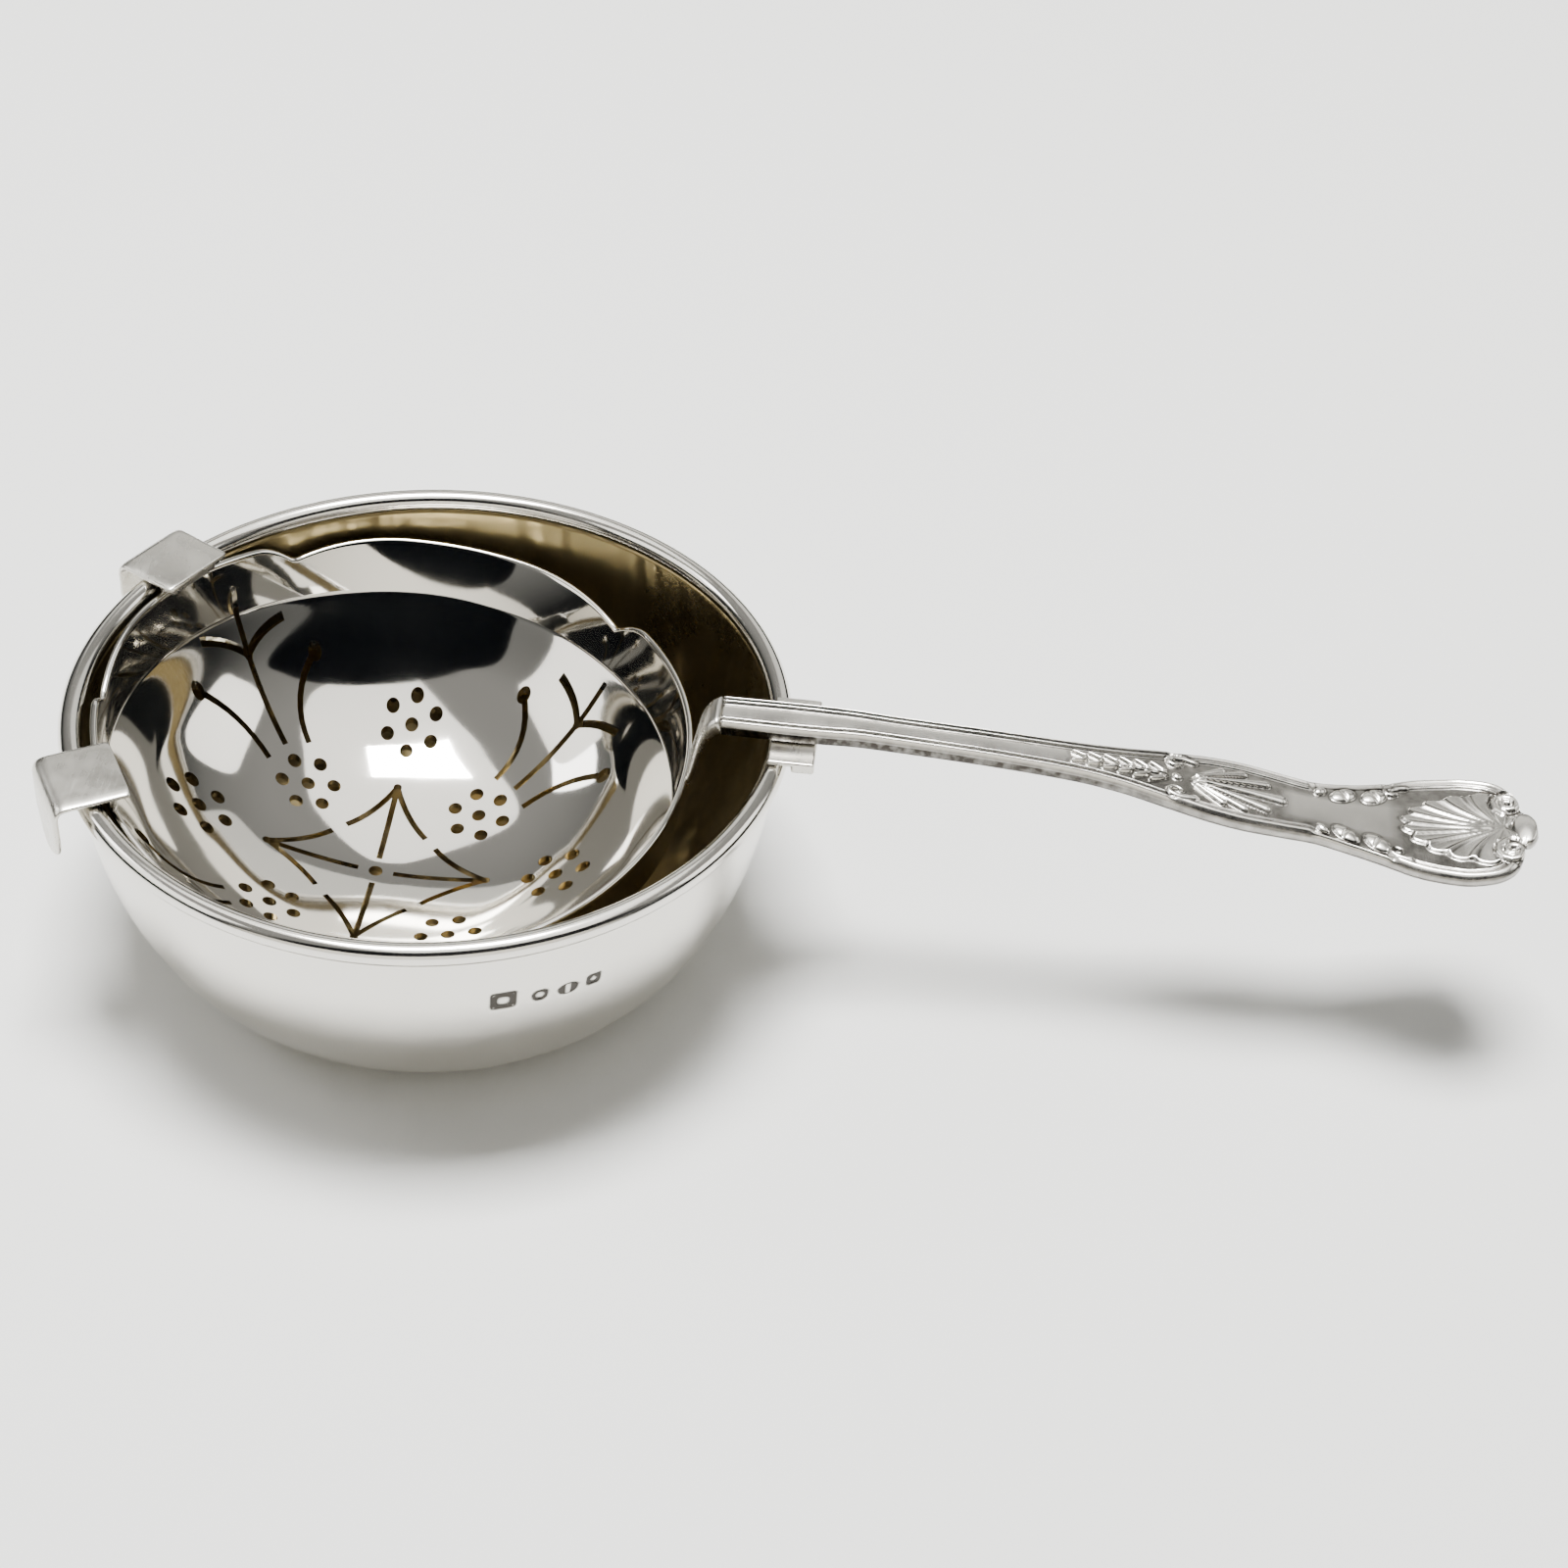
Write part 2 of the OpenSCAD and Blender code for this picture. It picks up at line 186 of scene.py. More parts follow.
def metal(name, colour, rough_low, rough_high, wave, hairline, cloud=14.0, ripple=(0.11, 0.11, 0.11)):
    """Worked metal: a base colour, roughness that varies in clouds, soft waviness and fine hairlines."""
    material, tree, shader, mm = new_material(name)
    shader.inputs["Metallic"].default_value = 1.0
    shader.inputs["Base Color"].default_value = colour
    clouds = add_node(tree, "ShaderNodeTexNoise", Vector=mm, Scale=1 / cloud, Detail=3.0, Roughness=0.55)
    lines = scratches(tree, mm, (0.3, 0.5, 0.7), 0.35)
    more = scratches(tree, mm, (1.2, 0.2, 2.1), 0.5)
    both = add_node(tree, "ShaderNodeMath", {"operation": "MULTIPLY"}, i0=lines, i1=more)
    mixed = add_node(tree, "ShaderNodeMath", {"operation": "MULTIPLY_ADD"}, i0=both.outputs[0], i1=0.5,
                     i2=clouds.outputs["Fac"])
    rough = add_node(tree, "ShaderNodeMapRange", Value=mixed.outputs[0], **{
        "From_Min": 0.35, "From_Max": 0.85, "To_Min": rough_low, "To_Max": rough_high})
    tree.links.new(rough.outputs[0], shader.inputs["Roughness"])
    stretched = add_node(tree, "ShaderNodeMapping", Vector=mm, Scale=ripple)
    swell = add_node(tree, "ShaderNodeTexNoise", Vector=stretched.outputs[0], Scale=1.0, Detail=1.0)
    low = add_node(tree, "ShaderNodeBump", Strength=1.0, Distance=wave * MM, Height=swell.outputs["Fac"])
    fine = add_node(tree, "ShaderNodeBump", Strength=1.0, Distance=hairline * MM, Height=both.outputs[0],
                    Normal=low.outputs[0])
    tree.links.new(fine.outputs[0], shader.inputs["Normal"])
    return material, tree, shader, mm


def polished_silver(name="polished_silver", rough=(0.1, 0.22), wave=0.06, hairline=0.004):
    """Hand-polished sterling silver: near white, soft-edged reflections and a web of fine hairlines."""
    look = bpy.context.scene.strainer_finishes
    return metal(name, linear(look.silver), rough[0], rough[1], wave, hairline)[0]


def mirror_silver():
    """Machine-polished sterling silver of the strainer: sharp reflections with a slow swell in them."""
    return polished_silver("mirror_silver", (0.03, 0.08), 0.012, 0.0008)


def gilt_wash():
    """Electrogilded silver inside the drip bowl: warm, a little cloudy, rippled reflections."""
    look = bpy.context.scene.strainer_finishes
    return metal("gilt_wash", linear(look.gilt), 0.24, 0.4, 0.5, 0.003, ripple=(0.3, 0.3, 0.12))[0]


def darken_oxide_and_shade(tree, shader, mm, base, strength):
    """Mixes in the dark tarnish colour by the piece's own attribute: oxide where polish doesn't reach, and on the
    handle also painted shade on the side walls and along the outer edge.
    """
    oxide_and_shade = add_node(tree, "ShaderNodeAttribute", {"attribute_name": "oxide_and_shade"})
    grain = add_node(tree, "ShaderNodeTexNoise", Vector=mm, Scale=1.1, Detail=2.0)
    patchy = add_node(tree, "ShaderNodeMath", {"operation": "MULTIPLY_ADD"}, i0=grain.outputs["Fac"], i1=0.8, i2=0.6)
    amount = add_node(tree, "ShaderNodeMath", {"operation": "MULTIPLY"}, i0=oxide_and_shade.outputs["Fac"],
                      i1=patchy.outputs[0])
    share = add_node(tree, "ShaderNodeMath", {"operation": "MULTIPLY", "use_clamp": True},
                     i0=amount.outputs[0], i1=strength)
    tarnish_and_shade = linear(bpy.context.scene.strainer_finishes.tarnish_and_shade)
    mix = add_node(tree, "ShaderNodeMix", {"data_type": "RGBA"}, i0=share.outputs[0], i6=base, i7=tarnish_and_shade)
    tree.links.new(mix.outputs[2], shader.inputs["Base Color"])


def bowl_silver():
    """Raised and hand-polished sterling silver of the drip bowl: soft reflections, dark in the punches."""
    base = linear(bpy.context.scene.strainer_finishes.silver)
    material, tree, shader, mm = metal("bowl_silver", base, 0.12, 0.24, 0.05, 0.004)
    darken_oxide_and_shade(tree, shader, mm, base, 1.5)
    return material


def cast_silver():
    """Cast and hand-finished silver of the handle: soft shine on high points, oxide left in the recesses, painted shade
    on the side walls and along the face's outer edge.
    """
    base = linear(bpy.context.scene.strainer_finishes.silver)
    material, tree, shader, mm = metal("cast_silver", base, 0.16, 0.28, 0.05, 0.004, cloud=5.0)
    darken_oxide_and_shade(tree, shader, mm, base, 0.85)
    return material


def satin_silver():
    """Silver of the hooks and the rest, dulled by handling: broad, soft highlights."""
    look = bpy.context.scene.strainer_finishes
    return metal("satin_silver", linear(look.dulled), 0.2, 0.34, 0.2, 0.006, cloud=4.0)[0]


def matt_paper():
    """Matt photographic paper: pale and even, with the faintest tooth."""
    look = bpy.context.scene.strainer_finishes
    material, tree, shader, mm = new_material("matt_paper")
    shader.inputs["Base Color"].default_value = linear(look.floor)
    shader.inputs["Roughness"].default_value = 0.9
    tooth = add_node(tree, "ShaderNodeTexNoise", Vector=mm, Scale=1.6, Detail=3.0)
    bump = add_node(tree, "ShaderNodeBump", Strength=0.15, Distance=0.1 * MM, Height=tooth.outputs["Fac"])
    tree.links.new(bump.outputs[0], shader.inputs["Normal"])
    return material


# ---------------------------------------------------------------- curves and meshes, in millimetres


def spline(points, steps, level=False):
    """Catmull-Rom curve through the points; a level one starts square to the axis."""
    p = np.array(points, float)
    before = p[1] * [-1, 1] if level else p[0]
    ends = np.vstack([[before], p, p[-1:]])
    t = np.arange(steps)[:, None] / steps
    out = []
    for a, b, c, d in zip(ends[:-3], ends[1:-2], ends[2:-1], ends[3:]):
        out.append(0.5 * (2 * b + (c - a) * t + (2 * a - 5 * b + 4 * c - d) * t**2 + (3 * b - a - 3 * c + d) * t**3))
    return np.vstack(out + [p[-1:]])


def bezier(points, t):
    """Quadratic or cubic Bezier at the values t."""
    t = np.asarray(t, float)[:, None]
    p = [np.array(q, float) for q in points]
    while len(p) > 1:
        p = [a * (1 - t) + b * t for a, b in zip(p, p[1:])]
    return p[0]


def directions(path):
    """Unit directions along a path of 2-D points."""
    d = np.gradient(path, axis=0)
    return d / np.linalg.norm(d, axis=1)[:, None]


def outward(d):
    return np.stack([d[..., 1], -d[..., 0]], axis=-1)


def grid_faces(rows, columns, wrap=True):
    """Quads of a grid whose columns close into a ring."""
    faces = []
    for i in range(rows - 1):
        for k in range(columns if wrap else columns - 1):
            n = (k + 1) % columns
            faces.append((i * columns + k, i * columns + n, (i + 1) * columns + n, (i + 1) * columns + k))
    return faces


def new_piece(name, points, faces, materials, smooth=True):
    """A mesh object at the origin from points in millimetres."""
    mesh = bpy.data.meshes.new(name)
    mesh.from_pydata((np.asarray(points, float) * MM).tolist(), [], faces)
    bm = bmesh.new()
    bm.from_mesh(mesh)
    bmesh.ops.recalc_face_normals(bm, faces=bm.faces)
    bm.to_mesh(mesh)
    bm.free()
    mesh.polygons.foreach_set("use_smooth", [smooth] * len(mesh.polygons))
    piece = bpy.data.objects.new(name, mesh)
    bpy.context.collection.objects.link(piece)
    for material in materials:
        mesh.materials.append(material)
    return piece


def pole_mesh(rings, first, last):
    """Points and faces of a closed skin of rings with a pole at each end."""
    count, columns = rings.shape[:2]
    points = np.vstack([rings.reshape(-1, 3), [first], [last]])
    faces = grid_faces(count, columns)
    a, b, base = len(points) - 2, len(points) - 1, (count - 1) * columns
    for k in range(columns):
        n = (k + 1) % columns
        faces += [(a, n, k), (b, base + k, base + n)]
    return points, faces


def finished(piece, body, nodes):
    """Ties a piece to its body and hides the CAD nodes that it stands for."""
    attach(piece, body)
    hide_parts(*nodes)
    return piece


def apply_modifiers(piece):
    """Replaces a piece's mesh by what its modifiers make of it."""
    graph = bpy.context.evaluated_depsgraph_get()
    mesh = bpy.data.meshes.new_from_object(piece.evaluated_get(graph))
    piece.modifiers.clear()
    piece.data = mesh
    return piece


# ---------------------------------------------------------------- drip bowl

# Blank punches: [angle round the bowl in degrees, height, half width, half height, shape power]
PUNCH_Z = 18.8
PUNCHES = [(-68.4, PUNCH_Z + 0.25, 1.35, 1.3, 8), (-62.5, PUNCH_Z, 0.85, 0.85, 2.6),
           (-57.8, PUNCH_Z - 0.15, 1.1, 0.85, 2.4), (-53.4, PUNCH_Z, 0.8, 0.85, 5)]
SIDE_POWER, BELLY_POWER = 2 / 2.45, 2 / 1.8
WIRE_LINE = 1.6


def bowl_curve(sizes, low, top, radius, angles):
    a = np.radians(angles)
    foot = sizes.foot / 2
    return np.stack([foot + (radius - foot) * np.sin(a) ** SIDE_POWER,
                     low + (top - low) * (1 - np.cos(a) ** BELLY_POWER)], axis=1)


def punch_relief(angle, z, radius, depth):
    """How far the wall is pressed in: a sunk field of each punch with a plain raised figure in it."""
    press = np.zeros(np.broadcast(angle, z).shape)
    for i, (at, height, half_w, half_h, power) in enumerate(PUNCHES):
        u = np.radians(angle - at) * radius / half_w
        w = (z - height) / half_h
        reach = (np.abs(u) ** power + np.abs(w) ** power) ** (1 / power)
        field = np.clip((1 - reach) / 0.14, 0, 1)
        figure = [np.cos(3.1 * u) * np.cos(3.1 * w), 1 - np.hypot(u, w) * 1.5,
                  np.cos(5 * u) - 0.2 * np.abs(w), 1 - (np.abs(u) + np.abs(w)) * 1.6][i]
        press += depth * field * (1 - 0.8 * np.clip(figure * 1.6, 0, 1) * (reach < 0.8))
    return press


def make_drip_bowl():
    """Raised drip bowl: silver outside with four blank punches, gilt inside."""
    sizes = bpy.context.scene.drip_bowl_sizes
    wire_r = sizes.wire / 2
    ring_r = sizes.across / 2 - wire_r
    top = sizes.rim_top - 2 * wire_r + 0.25
    fine = np.degrees(np.arccos((1 - np.linspace(16.6, 20.9, 36) / top) ** (1 / BELLY_POWER)))
    steps = np.unique(np.concatenate([np.linspace(0, 90, 62), fine]))
    outer = bowl_curve(sizes, 0, top, ring_r, steps)
    outer[:, 0] -= 0.07 * np.exp(-((outer[:, 1] - top + WIRE_LINE) / 0.16) ** 2)
    inner = bowl_curve(sizes, sizes.wall, top, ring_r - sizes.wall, np.linspace(90, 0, 60))
    feet = np.linspace(0.12, 0.97, 8)[:, None] * [[sizes.foot / 2, 0]]
    profile = np.vstack([feet, outer, inner, feet[::-1] + [0, sizes.wall]])
    angles = np.concatenate([np.arange(-180, -71, 2.0), np.arange(-71, -51, 0.2), np.arange(-50.5, 180, 2.0)])
    turn = np.radians(angles)
    press = np.zeros((len(profile), len(angles)))
    wall = slice(len(feet), len(feet) + len(outer))
    press[wall] = punch_relief(angles[None, :], outer[:, 1:], ring_r, sizes.punch_depth)
    radius = profile[:, :1] - press
    rings = np.stack([radius * np.cos(turn), radius * np.sin(turn), np.repeat(profile[:, 1:], len(turn), 1)], axis=-1)
    points, faces = pole_mesh(rings, (0, 0, 0), (0, 0, sizes.wall))
    piece = new_piece("raised_drip_bowl", points, faces, [bowl_silver(), gilt_wash()])
    columns = len(angles)
    first_inner = (len(feet) + len(outer) - 1) * columns
    gilt = [1 if first_inner <= min(f[:3]) or max(f) == len(points) - 1 else 0 for f in faces]
    piece.data.polygons.foreach_set("material_index", gilt)
    dark = np.concatenate([np.clip(press / sizes.punch_depth, 0, 1).ravel() ** 2, [0, 0]])
    piece.data.attributes.new("oxide_and_shade", "FLOAT", "POINT").data.foreach_set("value", dark.astype(np.float32))
    finished(piece, STAND, ["drip_bowl"])
    piece = new_piece("rim_wire", *ring_mesh(ring_r, wire_r, sizes.rim_top - wire_r),
                      [polished_silver("drawn_wire", (0.08, 0.16), 0.03, 0.002)])
    finished(piece, STAND, ["drip_bowl_rim"])


def ring_mesh(radius, wire, height, around=256, section=32):
    """Points and faces of a torus."""
    u = np.linspace(0, 2 * np.pi, around, endpoint=False)[:, None]
    v = np.linspace(0, 2 * np.pi, section, endpoint=False)[None, :]
    r = radius + wire * np.cos(v)
    points = np.stack([r * np.cos(u), r * np.sin(u), height + wire * np.sin(v) + 0 * u], axis=-1)
    faces = grid_faces(around, section)
    faces += [((around - 1) * section + k, (around - 1) * section + (k + 1) % section, (k + 1) % section, k)
              for k in range(section)]
    return points.reshape(-1, 3), faces


# ---------------------------------------------------------------- strainer bowl

WELL_SHAPE = [(0, 0), (0.4, 0.073), (0.645, 0.208), (0.84, 0.42), (0.982, 0.68)]
NICKS = [(50, 8, 26), (122, 24, 8), (186, 24, 6)]
LIP_BOW = math.radians(3)
LIP_ROWS = 26
POLE_R = 1.0
PATTERN_X = -1.1
FLOWER_R, STEMMED_R, PLAIN_R, ARROW_R = 2.65, 12.6, 18.1, 11.2
SHAFT_FROM, BARB_BACK, BARB_OUT = 1.8, 5.9, 4.1
STEM_FROM, FORK_R, PRONG_R, CURL_R, CURL_OUT = 17.0, 24.4, 27.6, 22.7, 7.0
SMALL_HOLE = 0.86


def hung(points, sizes):
    """Points of the strainer's own frame, moved to where it hangs in the drip bowl."""
    bowl = bpy.context.scene.drip_bowl_sizes
    rim_r, c, s = sizes.across / 2, math.cos(sizes.tilt), math.sin(sizes.tilt)
    x0 = rim_r * c - sizes.depth * s - (bowl.across / 2 - bowl.wire - sizes.rim_gap)
    z0 = bowl.rim_top - 0.1 - sizes.depth * c - rim_r * s
    p = np.asarray(points, float)
    return np.stack([x0 + p[..., 0] * c + p[..., 2] * s, p[..., 1], z0 + p[..., 2] * c - p[..., 0] * s], axis=-1)


def nick_share(angle, depth):
    """Share of the lip's height that the nicks take away at an angle in degrees."""
    deepest = 0
    for at, before, after in NICKS:
        d = (angle - at + 180) % 360 - 180
        deepest = max(deepest, max(0, 1 - abs(d) / (before if d < 0 else after)) ** 2)
    return depth * deepest


def strainer_section(angle, sizes, well):
    """Section of the sheet in one direction: up the inside, round the edge and down the outside."""
    a = math.radians(angle)
    rim = np.array([sizes.across / 2 + sizes.oval / 2 * math.sin(a) ** 2, sizes.depth - sizes.dip * math.sin(a) ** 2])
    neck = well[-1]
    reach = np.linalg.norm(rim - neck) / 3
    chord = math.atan2(rim[1] - neck[1], rim[0] - neck[0])
    start, end = (reach * np.array([math.cos(c), math.sin(c)]) for c in (chord + LIP_BOW, chord - LIP_BOW))
    curve = [neck, neck + start, rim - end, rim]
    share = 1 - nick_share(angle, sizes.nick)
    lip = bezier(curve, np.linspace(0, share, LIP_ROWS))
    inside = np.vstack([well[:-1], lip])
    side = outward(directions(inside)) * sizes.wall
    middle, across, up = inside[-1] + side[-1] / 2, -side[-1] / 2, directions(inside)[-1] * sizes.wall / 2
    edge = [middle + across * math.cos(t) + up * math.sin(t) for t in np.radians([30, 60, 90, 120, 150])]
    return np.vstack([inside, edge, (inside + side)[::-1]])


def strainer_skin(sizes):
    """Points and faces of the strainer's sheet before it is pierced."""
    scale = np.array([sizes.across / 2, sizes.depth])
    well = spline(np.array(WELL_SHAPE) * scale, 14, level=True)
    columns = np.arange(0, 360, 1.25)
    rings = []
    for angle in columns:
        section = strainer_section(angle, sizes, well)
        section = section[section[:, 0] > POLE_R]
        a = math.radians(angle)
        rings.append(np.stack([section[:, 0] * math.cos(a), section[:, 0] * math.sin(a), section[:, 1]], axis=1))
    rings = hung(np.stack(rings, axis=1), sizes)
    return pole_mesh(rings, hung([0, 0, 0], sizes), hung([0, 0, -sizes.wall], sizes))


def petals(radius, turn):
    """Middle and six surrounding holes of one flower."""
    ring = [(radius + FLOWER_R * math.cos(t), FLOWER_R * math.sin(t)) for t in np.radians(range(0, 360, 60))]
    return [turned(p, turn) for p in [(radius, 0)] + ring]


def turned(p, degrees):
    t = math.radians(degrees)
    return (p[0] * math.cos(t) - p[1] * math.sin(t), p[0] * math.sin(t) + p[1] * math.cos(t))


def piercing_holes():
    """Places of the full-size holes and of the small ones at the ends of slots."""
    full, small = [(0, 0)], []
    for quarter in (0, 90, 180, 270):
        full += petals(PLAIN_R, quarter) + petals(STEMMED_R, quarter + 45)
        small += [turned((ARROW_R, 0), quarter), turned((FORK_R, 0), quarter + 45)]
        full += [turned((CURL_R, s * CURL_OUT), quarter + 45) for s in (-1, 1)]
    return full, small


def piercing_slots():
    """Three sets of slots whose members don't cross each other: straight ones, then those to either side."""
    straight, sides = [], ([], [])
    t = np.linspace(0, 1, 9)
    for quarter in (0, 90, 180, 270):
        straight.append((((SHAFT_FROM, 0), (ARROW_R, 0)), quarter))
        straight.append((((STEM_FROM, 0), (PRONG_R, 0)), quarter + 45))
        for side, group in zip((-1, 1), sides):
            barb = bezier([(ARROW_R, 0), (ARROW_R - BARB_BACK * 0.62, side * BARB_OUT * 0.4),
                           (ARROW_R - BARB_BACK, side * BARB_OUT)], t)
            prong = bezier([(FORK_R, 0), (FORK_R + 1.3, side * 1.8), (PRONG_R - 1.9, side * 4.9)], t)
            curl = bezier([(STEM_FROM - 0.7, side * 2.4), (CURL_R - 1.6, side * 2.9), (CURL_R, side * CURL_OUT)], t)
            group += [(barb, quarter), (prong, quarter + 45), (curl, quarter + 45)]
    return [straight, *sides]


def slot_prisms(slots, width, low, high, sizes):
    """Upright prisms of even width along the slots, as one mesh."""
    points, faces = [], []
    for path, turn in slots:
        p = np.array([turned(q, turn) for q in path])
        side = outward(directions(p)) * width / 2
        outline = np.vstack([p + side, (p - side)[::-1]]) + [PATTERN_X, 0]
        n, base = len(outline), len(points)
        for z in (low, high):
            points += [(x, y, z) for x, y in outline]
        faces += [tuple(range(base, base + n)), tuple(range(base + 2 * n - 1, base + n - 1, -1))]
        faces += [(base + (k + 1) % n, base + k, base + n + k, base + n + (k + 1) % n) for k in range(n)]
    return hung(points, sizes), faces


def drill_tree(material):
    """Geometry Nodes that stand one upright drill on every point of a mesh."""
    tree = bpy.data.node_groups.new("drills_on_points", "GeometryNodeTree")
    tree.interface.new_socket("Geometry", in_out="INPUT", socket_type="NodeSocketGeometry")
    sockets = {}
    for name in ("Diameter", "Length", "Tilt"):
        sockets[name] = tree.interface.new_socket(name, in_out="INPUT", socket_type="NodeSocketFloat").identifier
    tree.interface.new_socket("Geometry", in_out="OUTPUT", socket_type="NodeSocketGeometry")
    given = tree.nodes.new("NodeGroupInput")
    half = add_node(tree, "ShaderNodeMath", {"operation": "MULTIPLY"}, i0=given.outputs["Diameter"], i1=0.5)
    drill = add_node(tree, "GeometryNodeMeshCylinder", {"fill_type": "NGON"}, Vertices=24,
                     Radius=half.outputs[0], Depth=given.outputs["Length"])
    lean = add_node(tree, "ShaderNodeCombineXYZ", Y=given.outputs["Tilt"])
    spread = add_node(tree, "GeometryNodeInstanceOnPoints", Points=given.outputs["Geometry"],
                      Instance=drill.outputs["Mesh"], Rotation=lean.outputs[0])
    real = add_node(tree, "GeometryNodeRealizeInstances", Geometry=spread.outputs[0])
    coat = add_node(tree, "GeometryNodeSetMaterial", Geometry=real.outputs[0], Material=material)
    add_node(tree, "NodeGroupOutput", Geometry=coat.outputs[0])
    return tree, sockets


def drills(places, diameter, sizes, material):
    """A cutter object with one drill for each place of the pattern."""
    middle = sizes.depth / 2
    points = hung([(x + PATTERN_X, y, middle) for x, y in places], sizes)
    piece = new_piece("drills", points, [], [])
    tree, sockets = drill_tree(material)
    modifier = piece.modifiers.new("drills", "NODES")
    modifier.node_group = tree
    modifier[sockets["Diameter"]] = diameter * MM
    modifier[sockets["Length"]] = (sizes.depth + 6) * MM
    modifier[sockets["Tilt"]] = sizes.tilt
    return apply_modifiers(piece)


def pierce(piece, cutter):
    """Cuts a cutter out of a piece and deletes the cutter."""
    modifier = piece.modifiers.new("pierce", "BOOLEAN")
    modifier.operation, modifier.object, modifier.solver = "DIFFERENCE", cutter, "MANIFOLD"
    apply_modifiers(piece)
    bpy.data.objects.remove(cutter)


def keep_smooth_sheet(piece, sheet):
    """Gives the pierced sheet the unpierced one's smooth normals, and flat normals to the walls of cuts."""
    modifier = piece.modifiers.new("sheet normals", "DATA_TRANSFER")
    modifier.object, modifier.use_loop_data = sheet, True
    modifier.data_types_loops, modifier.loop_mapping = {"CUSTOM_NORMAL"}, "POLYINTERP_NEAREST"
    apply_modifiers(piece)
    mesh = piece.data
    normals = np.zeros(len(mesh.loops) * 3, np.float32)
    mesh.corner_normals.foreach_get("vector", normals)
    normals = normals.reshape(-1, 3)
    for polygon in mesh.polygons:
        own, span = np.array(polygon.normal), slice(polygon.loop_start, polygon.loop_start + polygon.loop_total)
        if normals[span].mean(0) @ own < 0.8:
            normals[span] = own
    mesh.normals_split_custom_set(normals.tolist())


def make_strainer_bowl():
    """Spun strainer bowl, pierced through with drills and saw slots."""
    sizes = bpy.context.scene.strainer_sizes
    silver = mirror_silver()
    points, faces = strainer_skin(sizes)
    sheet = new_piece("unpierced_sheet", points, faces, [silver])
    piece = new_piece("pierced_strainer_bowl", points, faces, [silver])
    full, small = piercing_holes()
    pierce(piece, drills(full, sizes.hole, sizes, silver))
    pierce(piece, drills(small, SMALL_HOLE, sizes, silver))
    low, high = -3, sizes.depth + 3
    for slots in piercing_slots():
        pierce(piece, new_piece("saw_cuts", *slot_prisms(slots, sizes.slot, low, high, sizes), [silver]))
    keep_smooth_sheet(piece, sheet)
    bpy.data.objects.remove(sheet)
    finished(piece, STRAINER, ["strainer_bowl"])


# ---------------------------------------------------------------- hooks, tongue and rest

SECTION_POWER = 7
SECTION_POINTS = 28


def strap_mesh(path, half_widths, half_thick, place):
    """A strip of rounded section along a path of (outward, up) points; place turns (outward, across, up) to the frame."""
    path = np.asarray(path, float)
    side = outward(directions(path))
    t = np.linspace(0, 2 * np.pi, SECTION_POINTS, endpoint=False)
    c, s = np.cos(t), np.sin(t)
    across = np.sign(c) * np.abs(c) ** (2 / SECTION_POWER)
    through = np.sign(s) * np.abs(s) ** (2 / 2.5)
    rings = []
    for p, n, w, h in zip(path, side, half_widths, half_thick):
        middle = p[:, None] + n[:, None] * through * h
        rings.append(place(np.stack([middle[0], across * w, middle[1]], axis=1)))
    rings = np.stack(rings)
    return pole_mesh(rings, rings[0].mean(0), rings[-1].mean(0))


def make_hooks():
    """Two hooks bent from strip, each with a pointed tongue outside the rim wire."""
    sizes, bowl = bpy.context.scene.fitting_sizes, bpy.context.scene.drip_bowl_sizes
    seat = bowl.rim_top + 0.1
    top = seat + sizes.hook_thick / 2
    out = bowl.across / 2 + 2.6 - sizes.hook_thick / 2
    bend = bezier([(out - 1.2, top), (out, top), (out, top - 1.3)], np.linspace(0, 1, 9))
    path = np.vstack([spline([(30.2, top - 0.02), (31.2, top), (33.6, top - 0.03), (34.9, top)], 6),
                      bend, [(out, z) for z in np.linspace(top - 1.8, seat - 6.55, 16)]])
    below = np.clip((seat - 3.0 - path[:, 1]) / 3.55, 0, 1)
    half = sizes.hook_width / 2 * np.sqrt(np.clip(1 - below ** 2.2, 0.012, 1))
    half[:4] *= [0.93, 0.97, 0.99, 1]
    thick = np.full(len(path), sizes.hook_thick / 2)
    foot = np.array([(31.75, seat - 1.45), (31.78, seat - 0.9), (31.8, seat - 0.3), (31.8, seat + 0.2)])
    silver = satin_silver()
    for name, turn in (("rear_hook", sizes.hook_angle), ("front_hook", -sizes.hook_angle)):
        c, s = math.cos(turn), math.sin(turn)

        def place(p):
            return np.stack([p[:, 0] * c - p[:, 1] * s, p[:, 0] * s + p[:, 1] * c, p[:, 2]], axis=1)

        points, faces = strap_mesh(path, half, thick, place)
        more, joined = strap_mesh(foot, [half[0] * 0.96] * 4, [0.5, 0.55, 0.55, 0.55], place)
        faces += [tuple(len(points) + i for i in f) for f in joined]
        piece = new_piece("bent_" + name, np.vstack([points, more]), faces, [silver])
        finished(piece, STRAINER, [name])


